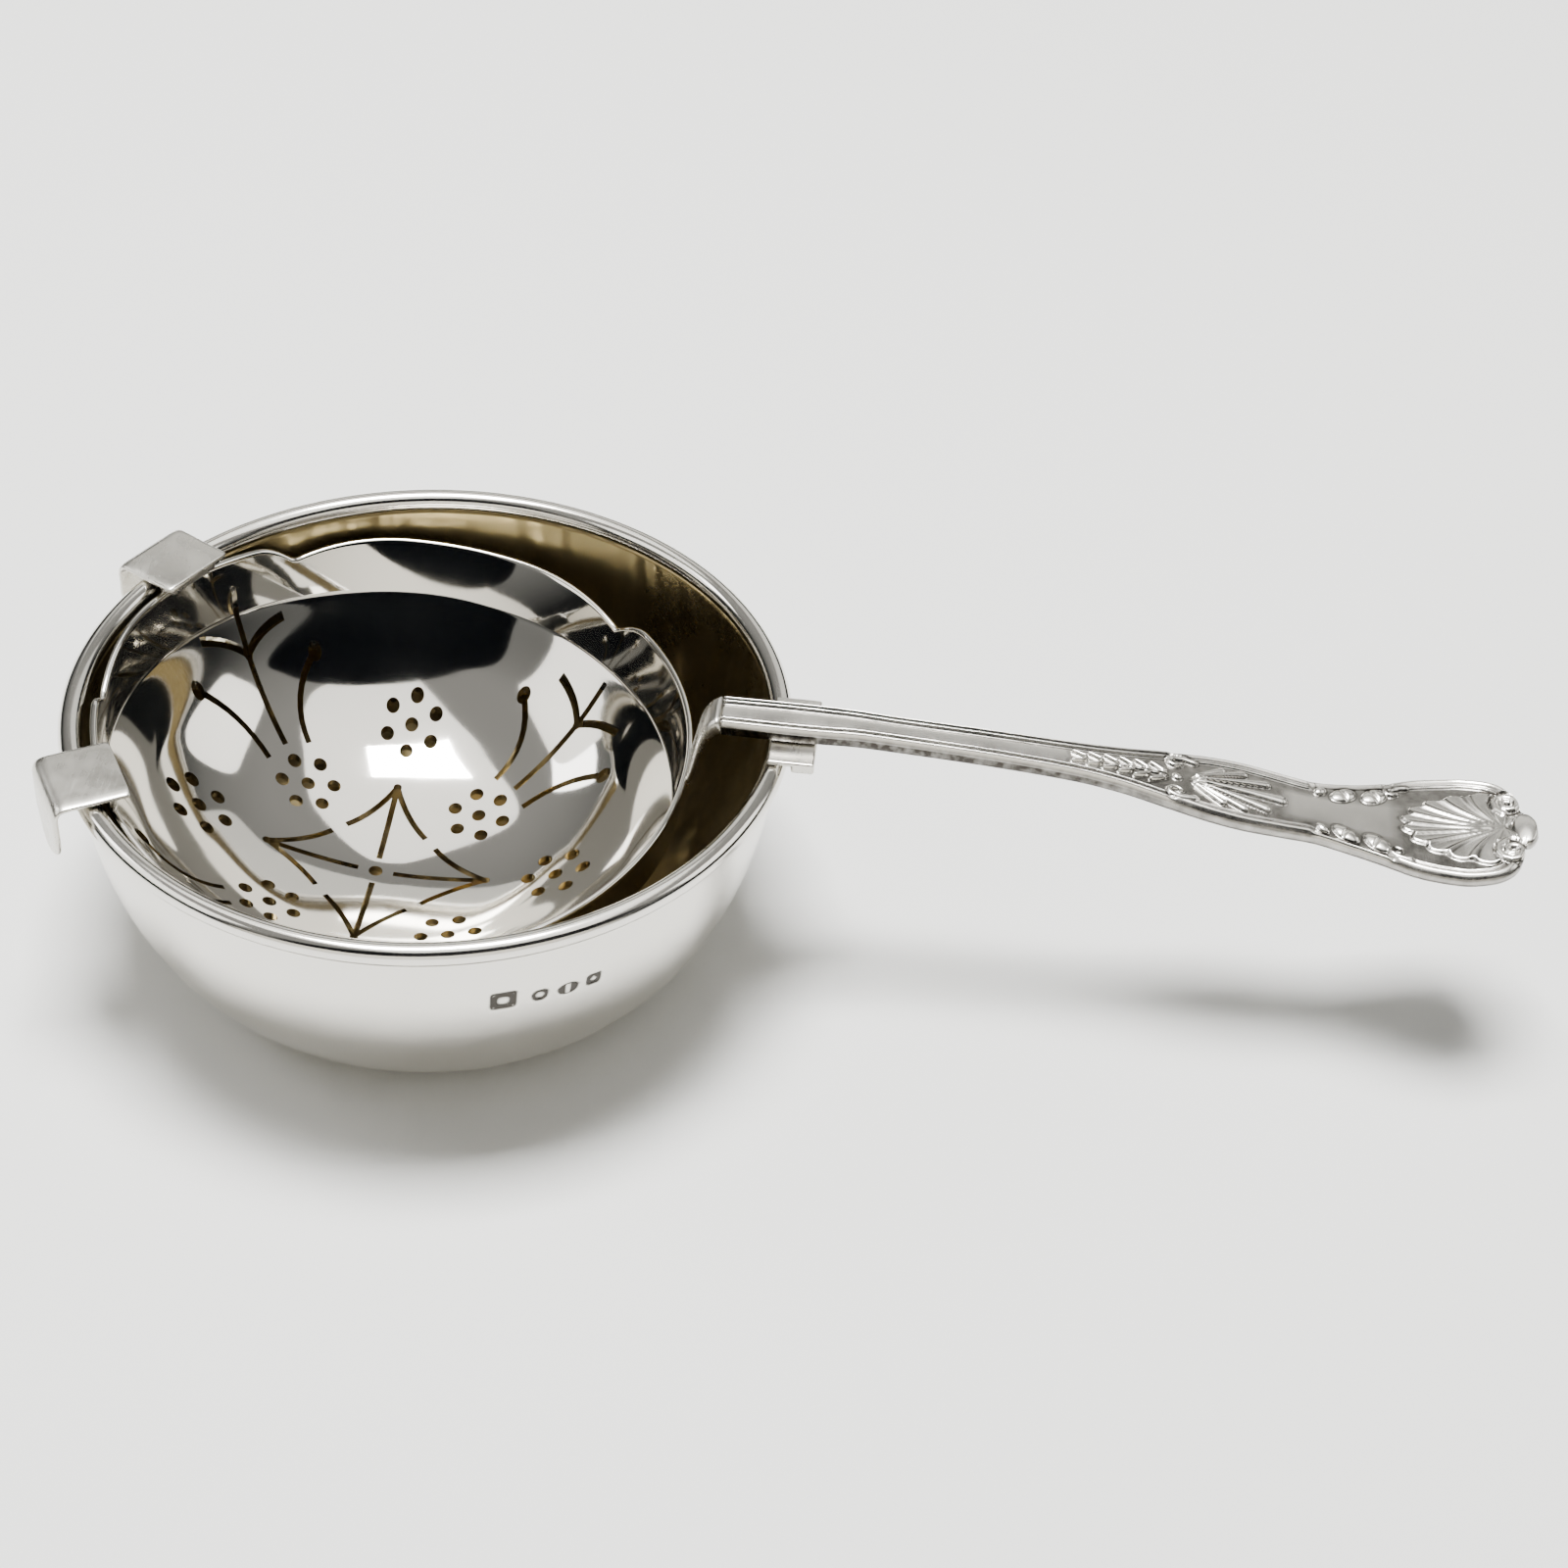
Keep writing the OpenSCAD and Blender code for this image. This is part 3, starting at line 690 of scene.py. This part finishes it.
def make_joints():
    """The tongue that joins the handle to the strainer, and the bar that rests on the rim wire."""
    sizes, bowl = bpy.context.scene.fitting_sizes, bpy.context.scene.drip_bowl_sizes
    seat = bowl.rim_top + 0.1
    stem = seat + 0.5 + sizes.thick / 2
    silver = satin_silver()
    start, end = (25.12, 21.75), (28.25, stem)
    path = bezier([start, (start[0] + 1.1, start[1] + 2.2), (end[0] - 2.2, end[1] - 0.5), end], np.linspace(0, 1, 22))
    t = np.linspace(0, 1, 22)
    piece = new_piece("handle_tongue_strip",
                      *strap_mesh(path, 2.5 - 0.4 * t, 0.4 + (sizes.thick / 2 - 0.4) * t**3, lambda p: p), [silver])
    finished(piece, STRAINER, ["handle_tongue"])
    low, high = box_mm("handle_rest")
    outline = [(low.x, seat), (bowl.across / 2 + 0.3, seat), (bowl.across / 2 + 0.3, low.z), (high.x, low.z),
               (high.x, high.z), (low.x, high.z)]
    points = [(x, y, z) for y in (low.y, high.y) for x, z in outline]
    n = len(outline)
    faces = [tuple(range(n)), tuple(range(2 * n - 1, n - 1, -1))]
    faces += [(k, (k + 1) % n, n + (k + 1) % n, n + k) for k in range(n)]
    piece = new_piece("rest_bar", points, faces, [silver])
    bevel = piece.modifiers.new("soft edges", "BEVEL")
    bevel.width, bevel.segments, bevel.harden_normals = 0.24 * MM, 4, True
    apply_modifiers(piece)
    finished(piece, STRAINER, ["handle_rest"])


# ---------------------------------------------------------------- handle

# Half widths along the handle: [distance along it as a share of its length, half width in millimetres]
PLAN = [(0, 2.1), (0.1, 2.16), (0.215, 1.95), (0.405, 2.14), (0.482, 2.6), (0.545, 3.5), (0.597, 4.2),
        (0.642, 4.4), (0.69, 4.16), (0.731, 4.0), (0.776, 4.65), (0.814, 5.5), (0.852, 6.6), (0.89, 7.15),
        (0.916, 7.3), (0.945, 6.95), (0.963, 6.2), (0.975, 5.0), (0.981, 3.5), (0.984, 2.3), (0.99, 2.1),
        (0.996, 1.6), (1, 0.95)]
DROOP = [(0, 0), (0.06, 0), (0.125, 0), (0.165, 0), (0.215, 0.04), (0.34, 0.14), (0.47, 0.3), (0.597, 0.56),
         (0.725, 0.86), (0.788, 0.965), (0.852, 1), (0.916, 0.955), (1, 0.765)]
DROOP_MM = 5.3
# Painted shade on the side walls, standing in for the dark surroundings that they reflect, and a plain darkening of the
# back, as a share
SIDE_PAINTED_SHADE, BACK_DARKENING = 1.1, 0.2
GROUND = 0.38


def bump(d, width):
    """Smooth hump of height 1 and the given half width."""
    return np.exp(-(d / width) ** 2)


def between(x, low, high, soft):
    """1 between low and high, fading to 0 over soft."""
    return np.clip((x - low) / soft + 0.5, 0, 1) * np.clip((high - x) / soft + 0.5, 0, 1)


def distance(x, y, path):
    """Distance from every point to a polyline, and how far along it the nearest place is, from 0 to 1."""
    path = np.asarray(path, float)
    best, where = np.full(x.shape, 1e9), np.zeros(x.shape)
    for i, (a, b) in enumerate(zip(path, path[1:])):
        ab = b - a
        t = np.clip(((x - a[0]) * ab[0] + (y - a[1]) * ab[1]) / (ab @ ab), 0, 1)
        d = np.hypot(x - a[0] - t * ab[0], y - a[1] - t * ab[1])
        closer = d < best
        best[closer], where[closer] = d[closer], ((i + t) / (len(path) - 1))[closer]
    return best, where


def stroke(x, y, path, wide, narrow, power=1.0):
    """A tapering raised stroke along a path, drawn on both sides of the middle line."""
    d, t = distance(x, np.abs(y), spline(path, 6))
    width = narrow + (wide - narrow) * t**power
    return np.sqrt(np.clip(1 - (d / width) ** 2, 0, 1))


# Leaves on the edges of the waist: [distance along X, distance from the middle line, half length, half width]
WAIST_LEAVES = [(86.0, 2.65, 0.65, 0.6), (88.3, 2.75, 1.3, 0.95), (91.3, 3.3, 1.3, 1.05)]
# Petals of the palmette on one side: where each starts, bends and ends, then its half width
PETALS = [((73.9, 0), (78, 0.05), (82.1, 0.08), 0.58), ((74.0, 0.3), (77.3, 1.05), (80.6, 1.75), 0.52),
          ((73.9, 0.5), (76.2, 1.55), (78.4, 2.45), 0.5), ((73.7, 0.6), (75.0, 1.5), (76.3, 2.3), 0.44)]
HINGE_X, SHELL_LONG, SHELL_WIDE, SHELL_LOBE = 103.5, 9.9, 5.2, math.radians(17.5)
VOLUTE_AT, VOLUTE_R = (103.9, 3.3), 1.8


def ornament(x, y, edge):
    """Height of the handle's relief over its ground, and how dark it is: oxide in its grooves, and painted shade along
    the face's outer edge.
    """
    y_abs = np.abs(y)
    # Two threads along the stem, with a dark groove inside each
    stem = between(x, 20, 71.4, 1.2)
    height = stem * (0.9 * bump(edge - 0.3, 0.2) + 0.9 * bump(edge - 0.86, 0.18))
    # The last term is painted shade along the outer edge, standing in for a dark reflection
    groove_and_edge_shade = stem * (bump(edge - 0.57, 0.13) + bump(edge - 1.2, 0.15) + 0.8 * bump(edge - 0.02, 0.1))
    # Band along the palmette, starting in a curl, and its thin inner thread
    middle = between(x, 71.6, 85.2, 0.8)
    height += middle * (1.0 * bump(edge - 0.55, 0.34) + 0.6 * bump(edge - 1.2, 0.14))
    # The last term is painted shade along the outer edge, standing in for a dark reflection
    groove_and_edge_shade += middle * (bump(edge - 0.98, 0.14) + 0.9 * bump(edge - 1.46, 0.18) + 0.8 * bump(edge - 0.04, 0.12))
    curl_path = [(73.6, 2.55), (72.3, 2.75), (71.3, 2.5), (71.1, 1.9), (71.7, 1.6), (72.3, 1.85)]
    curl = stroke(x, y, curl_path, 0.24, 0.36)
    groove_and_edge_shade = np.maximum(groove_and_edge_shade * (curl < 0.1), 0.9 * (distance(x, y_abs, spline(curl_path, 6))[0] < 0.55) * (curl < 0.1))
    height = np.maximum(height * (curl < 0.1), curl)
    # Spray of leaves that runs into the stem
    for i in range(6):
        root, out = 70.5 - 1.5 * i, 1.12 - 0.1 * i
        leaf = stroke(x, y, [(root, 0.42 * out), (root - 0.7, 0.8 * out), (root - 1.2, out)], 0.16, 0.34 - 0.02 * i)
        height = np.maximum(height, leaf)
        near = distance(x, y_abs, [(root, 0.42 * out), (root - 1.2, out)])[0]
        groove_and_edge_shade = np.maximum(groove_and_edge_shade, (0.95 - 0.1 * i) * (near < 0.62) * (leaf < 0.1) * (edge > 1.0))
    height = np.maximum(height, 0.7 * stroke(x, y, [(70.8, 0.05), (68.5, 0.05), (66.4, 0.03)], 0.08, 0.26))
    height = np.maximum(height, np.sqrt(np.clip(1 - np.hypot(x - 71.9, y) ** 2 / 0.5 ** 2, 0, 1)))
    # Palmette: petals that fan out from a rosette, thick and round at their ends
    for start, bend, tip, wide in PETALS:
        height = np.maximum(height, 1.1 * stroke(x, y, [start, bend, tip], wide, 0.13, 1.1))
    height = np.maximum(height, 0.8 * np.sqrt(np.clip(1 - np.hypot(x - 74.1, y) ** 2 / 0.85 ** 2, 0, 1)))
    # Leaf groups on the edges of the waist
    for at, out, long, wide in WAIST_LEAVES:
        lean = (y_abs - out) - 0.35 * (x - at)
        reach = np.hypot((x - at) / long, lean / wide)
        cleft = 1 - 0.55 * bump(x - at + 0.5 * lean, 0.16) * (long > 1)
        height = np.maximum(height, 1.15 * np.sqrt(np.clip(1 - reach ** 2, 0, 1)) * cleft)
        groove_and_edge_shade = np.maximum(groove_and_edge_shade * (reach > 1), bump(reach - 1.12, 0.16))
    waist = between(x, 85.2, 92.6, 0.8)
    height += waist * 0.6 * bump(edge - 0.3, 0.24)
    groove_and_edge_shade += waist * 0.9 * bump(edge - 0.72, 0.16)
    # Band round the shell, starting in a curl
    band = between(x, 92.8, 104.6, 0.8)
    height = np.maximum(height, band * (1.0 * bump(edge - 0.6, 0.42) + 0.65 * bump(edge - 1.32, 0.14)))
    # The last term is painted shade along the outer edge, standing in for a dark reflection
    groove_and_edge_shade += band * (bump(edge - 1.1, 0.16) + bump(edge - 1.58, 0.16) + 0.8 * bump(edge - 0.04, 0.12))
    height = np.maximum(height, stroke(x, y, [(94.4, 5.1), (93.2, 4.9), (92.5, 4.3), (92.9, 3.8), (93.5, 4.0)],
                                       0.26, 0.38))
    # Shell: concave flutes with thin ridges between them, fanning out from a hinge to a scalloped edge
    u, v = (HINGE_X - x) / SHELL_LONG, y / SHELL_WIDE
    reach, angle = np.hypot(u, v), np.arctan2(v, u)
    swept = angle + 0.3 * np.sin(angle) * (1 - reach)
    ridge = np.abs(np.cos(np.pi * swept / SHELL_LOBE))
    limit = 0.92 + 0.08 * np.sqrt(1 - ridge ** 2)
    shell = np.clip((limit - reach) / 0.03, 0, 1) * (np.abs(angle) < math.radians(118))
    flutes = 0.42 + 0.25 * reach + 0.45 * ridge ** 7 * np.clip(reach * 2.2, 0, 1)
    lines = 0.75 * bump(ridge - 0.86, 0.1) * np.clip(reach * 1.6 - 0.2, 0, 1) + 0.22
    height = np.where(shell > 0, shell * flutes, height)
    groove_and_edge_shade = np.where(shell > 0, lines, groove_and_edge_shade + 0.9 * bump(reach - limit - 0.02, 0.035) * (np.abs(angle) < 2))
    # Volutes that end the band, over the shell's corners
    t = np.linspace(0, 1, 16)
    turn, far = np.radians(250 - 560 * t), VOLUTE_R - 0.35 - 1.15 * t
    spiral = np.stack([VOLUTE_AT[0] + far * np.cos(turn), VOLUTE_AT[1] + far * np.sin(turn)], axis=1)
    d, along = distance(x, y_abs, spiral)
    disc = np.hypot(x - VOLUTE_AT[0], y_abs - VOLUTE_AT[1]) < VOLUTE_R
    rope = np.sqrt(np.clip(1 - (d / (0.42 - 0.08 * along)) ** 2, 0, 1))
    height = np.where(disc, 1.1 * rope, height)
    groove_and_edge_shade = np.where(disc, (rope < 0.25) * 1.0, groove_and_edge_shade)
    # Knob at the tip
    knob = np.clip(1 - ((x - 105.4) / 1.2) ** 2 - (y / 2.2) ** 2, 0, 1)
    groove_and_edge_shade = np.where((knob > 0) & (x > 104), 0.9 * bump(knob, 0.12), groove_and_edge_shade)
    return np.where((knob > 0) & (x > 104), np.sqrt(knob) * 1.1, height), groove_and_edge_shade


def make_handle():
    """Cast handle: threads, leaves, a palmette and a shell in relief on its face, a plain back."""
    sizes = bpy.context.scene.fitting_sizes
    x0, x1 = HANDLE_LOW.x, HANDLE_HIGH.x
    length = x1 - x0
    seat = bpy.context.scene.drip_bowl_sizes.rim_top + 0.1
    stem = seat + 0.5 + sizes.thick / 2
    plan = spline([(x0 + s * length, w) for s, w in PLAN], 8)
    droop = spline([(x0 + s * length, stem - d * DROOP_MM) for s, d in DROOP], 12)
    xs = np.concatenate([np.linspace(x0, 60, 130, endpoint=False), np.linspace(60, x1, 430)])
    half = np.interp(xs, plan[:, 0], plan[:, 1])
    middle = np.interp(xs, droop[:, 0], droop[:, 1])
    thick = sizes.thick / 2 * (1 - 0.2 * ((xs - x0) / length) ** 2)
    v = np.sin(np.pi / 2 * np.linspace(-1, 1, 131))
    x, y = np.meshgrid(xs, v, indexing="ij")
    y = y * half[:, None]
    outline = np.vstack([plan, [(x1, -plan[-1, 1])], (plan * [1, -1])[::-1][1:]])
    edge, _ = distance(x, y, outline)
    height, groove_and_edge_shade = ornament(x, y, edge)
    relief = height * GROUND * sizes.relief
    round_r = 0.32
    fall = round_r * (1 - np.sqrt(np.clip(1 - np.clip(1 - edge / round_r, 0, 1) ** 2, 0, 1)))
    crown = 0.12 * v[None, :] ** 2
    top = middle[:, None] + thick[:, None] - GROUND * 1.12 - crown + relief - fall
    back_v = np.sin(np.pi / 2 * np.linspace(-1, 1, 25))
    bx, by = np.meshgrid(xs, back_v, indexing="ij")
    by = by * half[:, None]
    bottom = middle[:, None] - thick[:, None] + 0.35 * np.abs(back_v[None, :]) ** 6 + 0 * bx
    sections = np.concatenate([np.stack([x, y, top], -1), np.stack([bx, by, bottom], -1)[:, ::-1]], axis=1)
    points, faces = pole_mesh(sections, sections[0].mean(0), sections[-1].mean(0))
    piece = new_piece("cast_handle", points, faces, [cast_silver()])
    dark = np.full(sections.shape[:2], BACK_DARKENING)
    dark[:, :len(v)] = np.maximum(np.clip(1 - height / 0.45, 0, 1) * recess_mask(x, y, half[:, None]), groove_and_edge_shade)
    # Side walls: painted shade in place of a dark reflection, strongest along the stem
    dark[:, [0, len(v) - 1, len(v), -1]] = SIDE_PAINTED_SHADE * np.interp(xs, [60, 80], [1, 0.6])[:, None]
    values = np.concatenate([dark.ravel(), [0, 0]])
    piece.data.attributes.new("oxide_and_shade", "FLOAT", "POINT").data.foreach_set("value", values.astype(np.float32))
    finished(piece, STRAINER, ["handle"])


def recess_mask(x, y, half):
    """Where the ground between the ornaments holds oxide: round them, and only a little on open ground."""
    stem = between(x, 20, 63, 4) * (1 - 0.15 * (np.abs(y) < half - 1.2))
    waist = between(x, 82.6, 93.2, 1.4) * between(np.abs(y / half), -1, 0.45, 0.2)
    return np.clip(0.8 - 0.8 * stem - 0.65 * waist, 0.05, 1)


# ---------------------------------------------------------------- stage

CAMERA_AT = (44.62, -214.57, 208.87)
CAMERA_YAW, CAMERA_PITCH, CAMERA_ROLL = -2.684, 41.143, -4.084
LENS_MM = 67.5


def make_camera():
    """Camera at the height and turn of the view that the object was taken from."""
    yaw, pitch, roll = (math.radians(v) for v in (CAMERA_YAW, CAMERA_PITCH, CAMERA_ROLL))
    ahead = Vector((math.sin(yaw) * math.cos(pitch), math.cos(yaw) * math.cos(pitch), -math.sin(pitch)))
    right = Vector((math.cos(yaw), -math.sin(yaw), 0))
    down = ahead.cross(right)
    x_axis = right * math.cos(roll) + down * math.sin(roll)
    y_axis = right * math.sin(roll) - down * math.cos(roll)
    data = bpy.data.cameras.new("camera")
    data.lens, data.sensor_width, data.clip_start, data.clip_end = LENS_MM, 36, 0.01, 20
    camera = bpy.data.objects.new("camera", data)
    bpy.context.collection.objects.link(camera)
    turn = Matrix((x_axis, y_axis, -ahead)).transposed()
    camera.matrix_world = Matrix.Translation(Vector(CAMERA_AT) * MM) @ turn.to_4x4()
    bpy.context.scene.camera = camera


def soft_light(name, place, aim, size, watts, colour="#FFFFFF"):
    """A rectangular softbox that faces its aim; sizes and places in metres."""
    data = bpy.data.lights.new(name, "AREA")
    data.shape, data.size, data.size_y, data.energy = "RECTANGLE", size[0], size[1], watts
    data.color = linear(colour)[:3]
    light = bpy.data.objects.new(name, data)
    bpy.context.collection.objects.link(light)
    light.location = place
    light.rotation_euler = (Vector(aim) - Vector(place)).to_track_quat("-Z", "Y").to_euler()


def card(name, place, aim, size, colour, shine=0.0, power=2.0):
    """A flat card that only reflections see; oval at power 2 and squarer above it."""
    material = bpy.data.materials.new(name)
    material.use_nodes = True
    shader = material.node_tree.nodes["Principled BSDF"]
    shader.inputs["Base Color"].default_value = linear(colour)
    shader.inputs["Roughness"].default_value = 0.9
    shader.inputs["Specular IOR Level"].default_value = 0.0
    shader.inputs["Emission Color"].default_value = linear(colour)
    shader.inputs["Emission Strength"].default_value = shine
    turn = np.linspace(0, 2 * np.pi, 64, endpoint=False)
    ring = [np.sign(f) * np.abs(f) ** (2 / power) for f in (np.cos(turn), np.sin(turn))]
    points = np.stack([size[0] / 2 / MM * ring[0], size[1] / 2 / MM * ring[1], 0 * turn], axis=1)
    piece = new_piece(name, points, [tuple(range(64))], [material], False)
    piece.location = place
    piece.rotation_euler = (Vector(aim) - Vector(place)).to_track_quat("-Z", "Y").to_euler()
    piece.visible_camera = piece.visible_diffuse = False
    piece.visible_shadow = False


def make_stage():
    """Pale paper floor, soft light from behind and above, and dark cards for the silver to reflect."""
    reach = 3000
    floor = new_piece("paper_floor", [(-reach, -reach, 0), (reach, -reach, 0), (reach, reach, 0), (-reach, reach, 0)],
                      [(0, 1, 2, 3)], [matt_paper()], False)
    make_camera()
    world = bpy.context.scene.world or bpy.data.worlds.new("studio")
    bpy.context.scene.world = world
    world.use_nodes = True
    tree = world.node_tree
    back = tree.nodes["Background"]
    coords = add_node(tree, "ShaderNodeTexCoord")
    split = add_node(tree, "ShaderNodeSeparateXYZ", Vector=coords.outputs["Generated"])
    ramp = add_node(tree, "ShaderNodeValToRGB", Fac=split.outputs["Z"])
    for at, shade in zip((0.03, 0.2, 0.42, 0.75), ("#17181A", "#303132", "#9B9B98", "#C6C5C1")):
        stop = ramp.color_ramp.elements.new(at)
        stop.color = linear(shade)
    ramp.color_ramp.elements[0].color = linear("#17181A")
    ramp.color_ramp.elements[-1].color = linear("#C6C5C1")
    tree.links.new(ramp.outputs["Color"], back.inputs["Color"])
    back.inputs["Strength"].default_value = 0.62
    soft_light("overhead", (-0.03, 0.08, 1.0), (0, 0, 0), (0.42, 0.32), 32)
    soft_light("left_fill", (-1.3, 0.2, 1.0), (0, 0, 0.02), (0.5, 0.5), 5)
    card("ceiling", (0.08, 0.05, 1.1), (0, 0, 0), (1.7, 1.0), "#F4F3F0", 1.6, 5.0)
    card("left_window", (-0.95, -0.3, 0.66), (0, 0, 0.02), (0.8, 0.6), "#F4F3F0", 1.5, 6.0)
    card("right_window", (1.0, 0.27, 0.6), (0, 0, 0.02), (0.75, 0.5), "#F4F3F0", 1.5, 6.0)
    card("far_wall", (0.1, 1.5, 0.8), (0, 0, 0.02), (2.0, 0.7), "#E6E5E1", 0.75, 6.0)
    card("front_paper", (0.2, -1.2, 0.24), (0, 0, 0.02), (3.4, 0.72), "#EDE9DF", 0.8)
    card("dark_figure", (0.134, -0.392, 0.37), (0, 0, 0.02), (1.1, 0.34), "#0A0C10")


# ---------------------------------------------------------------- operators and panel


class BuildDripBowl(bpy.types.Operator):
    """Build the drip bowl and its rim wire"""
    bl_idname = "tea_strainer.drip_bowl"
    bl_label = "Drip bowl"

    def execute(self, context):
        make_drip_bowl()
        return {"FINISHED"}


class BuildStrainerBowl(bpy.types.Operator):
    """Build the pierced strainer bowl"""
    bl_idname = "tea_strainer.strainer_bowl"
    bl_label = "Strainer bowl"

    def execute(self, context):
        make_strainer_bowl()
        return {"FINISHED"}


class BuildFittings(bpy.types.Operator):
    """Build the hooks, the tongue and the rest"""
    bl_idname = "tea_strainer.fittings"
    bl_label = "Hooks, tongue and rest"

    def execute(self, context):
        make_hooks()
        make_joints()
        return {"FINISHED"}


class BuildHandle(bpy.types.Operator):
    """Build the cast handle"""
    bl_idname = "tea_strainer.handle"
    bl_label = "Handle"

    def execute(self, context):
        make_handle()
        return {"FINISHED"}


class BuildStage(bpy.types.Operator):
    """Lay the floor and set the lights and the camera"""
    bl_idname = "tea_strainer.stage"
    bl_label = "Stage"

    def execute(self, context):
        make_stage()
        return {"FINISHED"}


OPERATORS = [BuildDripBowl, BuildStrainerBowl, BuildFittings, BuildHandle, BuildStage]


class StrainerPanel(bpy.types.Panel):
    """Sizes, finishes and build steps"""
    bl_idname = "VIEW3D_PT_tea_strainer"
    bl_label = "Tea strainer"
    bl_space_type = "VIEW_3D"
    bl_region_type = "UI"
    bl_category = "Tea strainer"

    def draw(self, context):
        for operator in OPERATORS:
            self.layout.operator(operator.bl_idname)
        for name in GROUPS:
            group = getattr(context.scene, name)
            for key in group.__annotations__:
                self.layout.prop(group, key)


GROUPS = {"drip_bowl_sizes": DripBowlSizes, "strainer_sizes": StrainerSizes, "fitting_sizes": FittingSizes,
          "strainer_finishes": Finishes}


def register():
    for kind in [*GROUPS.values(), *OPERATORS, StrainerPanel]:
        bpy.utils.register_class(kind)
    for name, kind in GROUPS.items():
        setattr(bpy.types.Scene, name, bpy.props.PointerProperty(type=kind))


def unregister():
    for name in GROUPS:
        delattr(bpy.types.Scene, name)
    for kind in reversed([*GROUPS.values(), *OPERATORS, StrainerPanel]):
        bpy.utils.unregister_class(kind)


def main():
    register()
    for operator in OPERATORS:
        group, name = operator.bl_idname.split(".")
        getattr(getattr(bpy.ops, group), name)()


if __name__ == "__main__":
    main()
